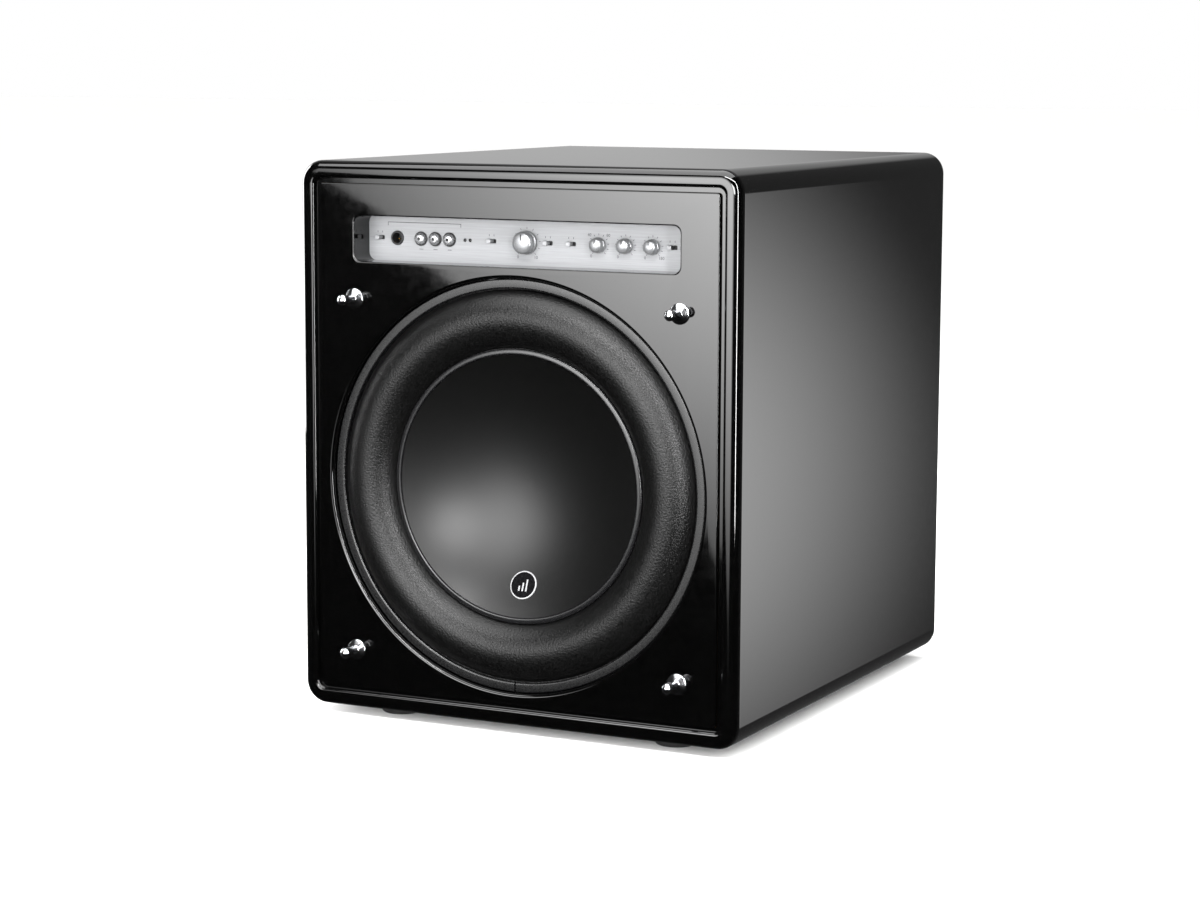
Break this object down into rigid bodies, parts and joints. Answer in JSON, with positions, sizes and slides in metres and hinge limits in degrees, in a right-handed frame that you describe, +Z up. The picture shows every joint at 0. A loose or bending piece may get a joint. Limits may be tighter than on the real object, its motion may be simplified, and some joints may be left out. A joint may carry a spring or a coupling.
{
  "type": "subwoofer",
  "caption": "Sealed powered subwoofer: gloss black cabinet, long-throw cone driver, recessed front control panel, chrome grille studs, rear amplifier.",
  "frame": {"origin": "on the floor, under the middle of the whole object", "axes": "+Z up, +X to the right seen from the front, +Y to the rear; the driver faces -Y"},
  "size_m": [0.419, 0.512, 0.489],
  "materials": {
    "black_lacquer": "high-gloss black lacquer on MDF",
    "raw_mdf": "raw MDF",
    "wadding": "polyester wadding",
    "foot_rubber": "moulded rubber",
    "chrome": "polished chrome",
    "black_screw": "black oxide",
    "panel_aluminium": "fine brushed, clear anodised",
    "knob_aluminium": "satin silver",
    "shaft_steel": "turned",
    "black_plastic": "moulded",
    "gloss_trim": "gloss black",
    "circuit_board": "green solder mask",
    "led_lens": "dark lens, unlit",
    "surround_rubber": "fine matt grain",
    "cone_black": "satin black",
    "cone_trim": "satin dark grey",
    "badge": "black disc with a pale rim",
    "cast_basket": "cast, black powder coat",
    "former_aluminium": "plain",
    "copper": "enamelled wire",
    "spider_cloth": "resin-treated cloth",
    "motor_steel": "black zinc",
    "ferrite": "ground ferrite",
    "cable_pvc": "black PVC",
    "amp_aluminium": "black anodised extrusion",
    "chassis_steel": "zinc plated",
    "winding": "taped toroidal winding",
    "can": "sleeved can",
    "connector_black": "black nylon shell",
    "connector_gold": "gold plated"
  },
  "bodies": {
    "cabinet": {"cabinet_shell": "black_lacquer", "front_baffle": "black_lacquer", "back_panel": "black_lacquer", "window_brace": "raw_mdf", "damping_pads": "wadding", "feet": "foot_rubber", "foot_screws": "black_screw", "grille_studs": "chrome", "panel_plate": "panel_aluminium", "control_box": "black_plastic", "control_board": "circuit_board", "panel_screws": "black_screw", "panel_pots": "shaft_steel", "button_bezels": "black_plastic", "status_leds": "led_lens", "mic_socket": "connector_black", "switch_bodies": "black_plastic", "driver_basket": "cast_basket", "driver_gasket": "foot_rubber", "driver_screws": "black_screw", "trim_ring": "gloss_trim", "surround": "surround_rubber", "spiders": "spider_cloth", "tinsel_leads": "copper", "top_plate": "motor_steel", "magnets": "ferrite", "back_plate": "motor_steel", "internal_cables": "cable_pvc", "amp_plate": "amp_aluminium", "amp_screws": "black_screw", "amp_chassis": "chassis_steel", "amp_board": "circuit_board", "transformer": "winding", "capacitors": "can", "xlr_sockets": "connector_black", "rca_jacks": "connector_gold", "mains_inlet": "connector_black"},
    "cone_assembly": {"cone_ring": "cone_trim", "dish_cone": "cone_black", "cone_body": "cone_black", "cone_badge": "badge", "coil_former": "former_aluminium", "voice_coil": "copper"},
    "master_control": {"master_knob": "knob_aluminium", "master_shaft": "shaft_steel"},
    "frequency_control": {"frequency_knob": "knob_aluminium", "frequency_shaft": "shaft_steel"},
    "trim_control": {"trim_knob": "knob_aluminium", "trim_shaft": "shaft_steel"},
    "phase_control": {"phase_knob": "knob_aluminium", "phase_shaft": "shaft_steel"},
    "demo_key": {"demo_button": "knob_aluminium"},
    "defeat_key": {"defeat_button": "knob_aluminium"},
    "calibrate_key": {"calibrate_button": "knob_aluminium"},
    "power_slider": {"power_lever": "black_plastic"},
    "level_slider": {"level_lever": "black_plastic"},
    "lights_slider": {"lights_lever": "black_plastic"},
    "filter_slider": {"filter_lever": "black_plastic"},
    "polarity_slider": {"polarity_lever": "black_plastic"},
    "mode_slider": {"mode_lever": "black_plastic"}
  },
  "joints": [
    {"name": "cone_travel", "type": "slide", "parent": "cabinet", "child": "cone_assembly", "axis": [0, -1, 0], "range_m": [-0.025, 0.025], "stiffness_N_per_m": 4000, "deforming": ["surround", "spiders", "tinsel_leads"]},
    {"name": "master_turn", "type": "hinge", "parent": "cabinet", "child": "master_control", "pos_m": [0, -0.207, 0.4225], "axis": [0, 1, 0], "range_deg": [-140, 140]},
    {"name": "frequency_turn", "type": "hinge", "parent": "cabinet", "child": "frequency_control", "pos_m": [0.068, -0.207, 0.4225], "axis": [0, 1, 0], "range_deg": [-150, 150]},
    {"name": "trim_turn", "type": "hinge", "parent": "cabinet", "child": "trim_control", "pos_m": [0.093, -0.207, 0.4225], "axis": [0, 1, 0], "range_deg": [-150, 150]},
    {"name": "phase_turn", "type": "hinge", "parent": "cabinet", "child": "phase_control", "pos_m": [0.118, -0.207, 0.4225], "axis": [0, 1, 0], "range_deg": [-150, 150]},
    {"name": "demo_press", "type": "slide", "parent": "cabinet", "child": "demo_key", "axis": [0, 1, 0], "range_m": [0, 0.0015], "stiffness_N_per_m": 600, "springref_m": -0.001},
    {"name": "defeat_press", "type": "slide", "parent": "cabinet", "child": "defeat_key", "axis": [0, 1, 0], "range_m": [0, 0.0015], "stiffness_N_per_m": 600, "springref_m": -0.001},
    {"name": "calibrate_press", "type": "slide", "parent": "cabinet", "child": "calibrate_key", "axis": [0, 1, 0], "range_m": [0, 0.0015], "stiffness_N_per_m": 600, "springref_m": -0.001},
    {"name": "power_slide", "type": "slide", "parent": "cabinet", "child": "power_slider", "axis": [1, 0, 0], "range_m": [0, 0.0046]},
    {"name": "level_slide", "type": "slide", "parent": "cabinet", "child": "level_slider", "axis": [1, 0, 0], "range_m": [0, 0.0046]},
    {"name": "lights_slide", "type": "slide", "parent": "cabinet", "child": "lights_slider", "axis": [1, 0, 0], "range_m": [0, 0.0046]},
    {"name": "filter_slide", "type": "slide", "parent": "cabinet", "child": "filter_slider", "axis": [1, 0, 0], "range_m": [0, 0.0046]},
    {"name": "polarity_slide", "type": "slide", "parent": "cabinet", "child": "polarity_slider", "axis": [1, 0, 0], "range_m": [0, 0.0046]},
    {"name": "mode_slide", "type": "slide", "parent": "cabinet", "child": "mode_slider", "axis": [1, 0, 0], "range_m": [0, 0.0046]}
  ]
}
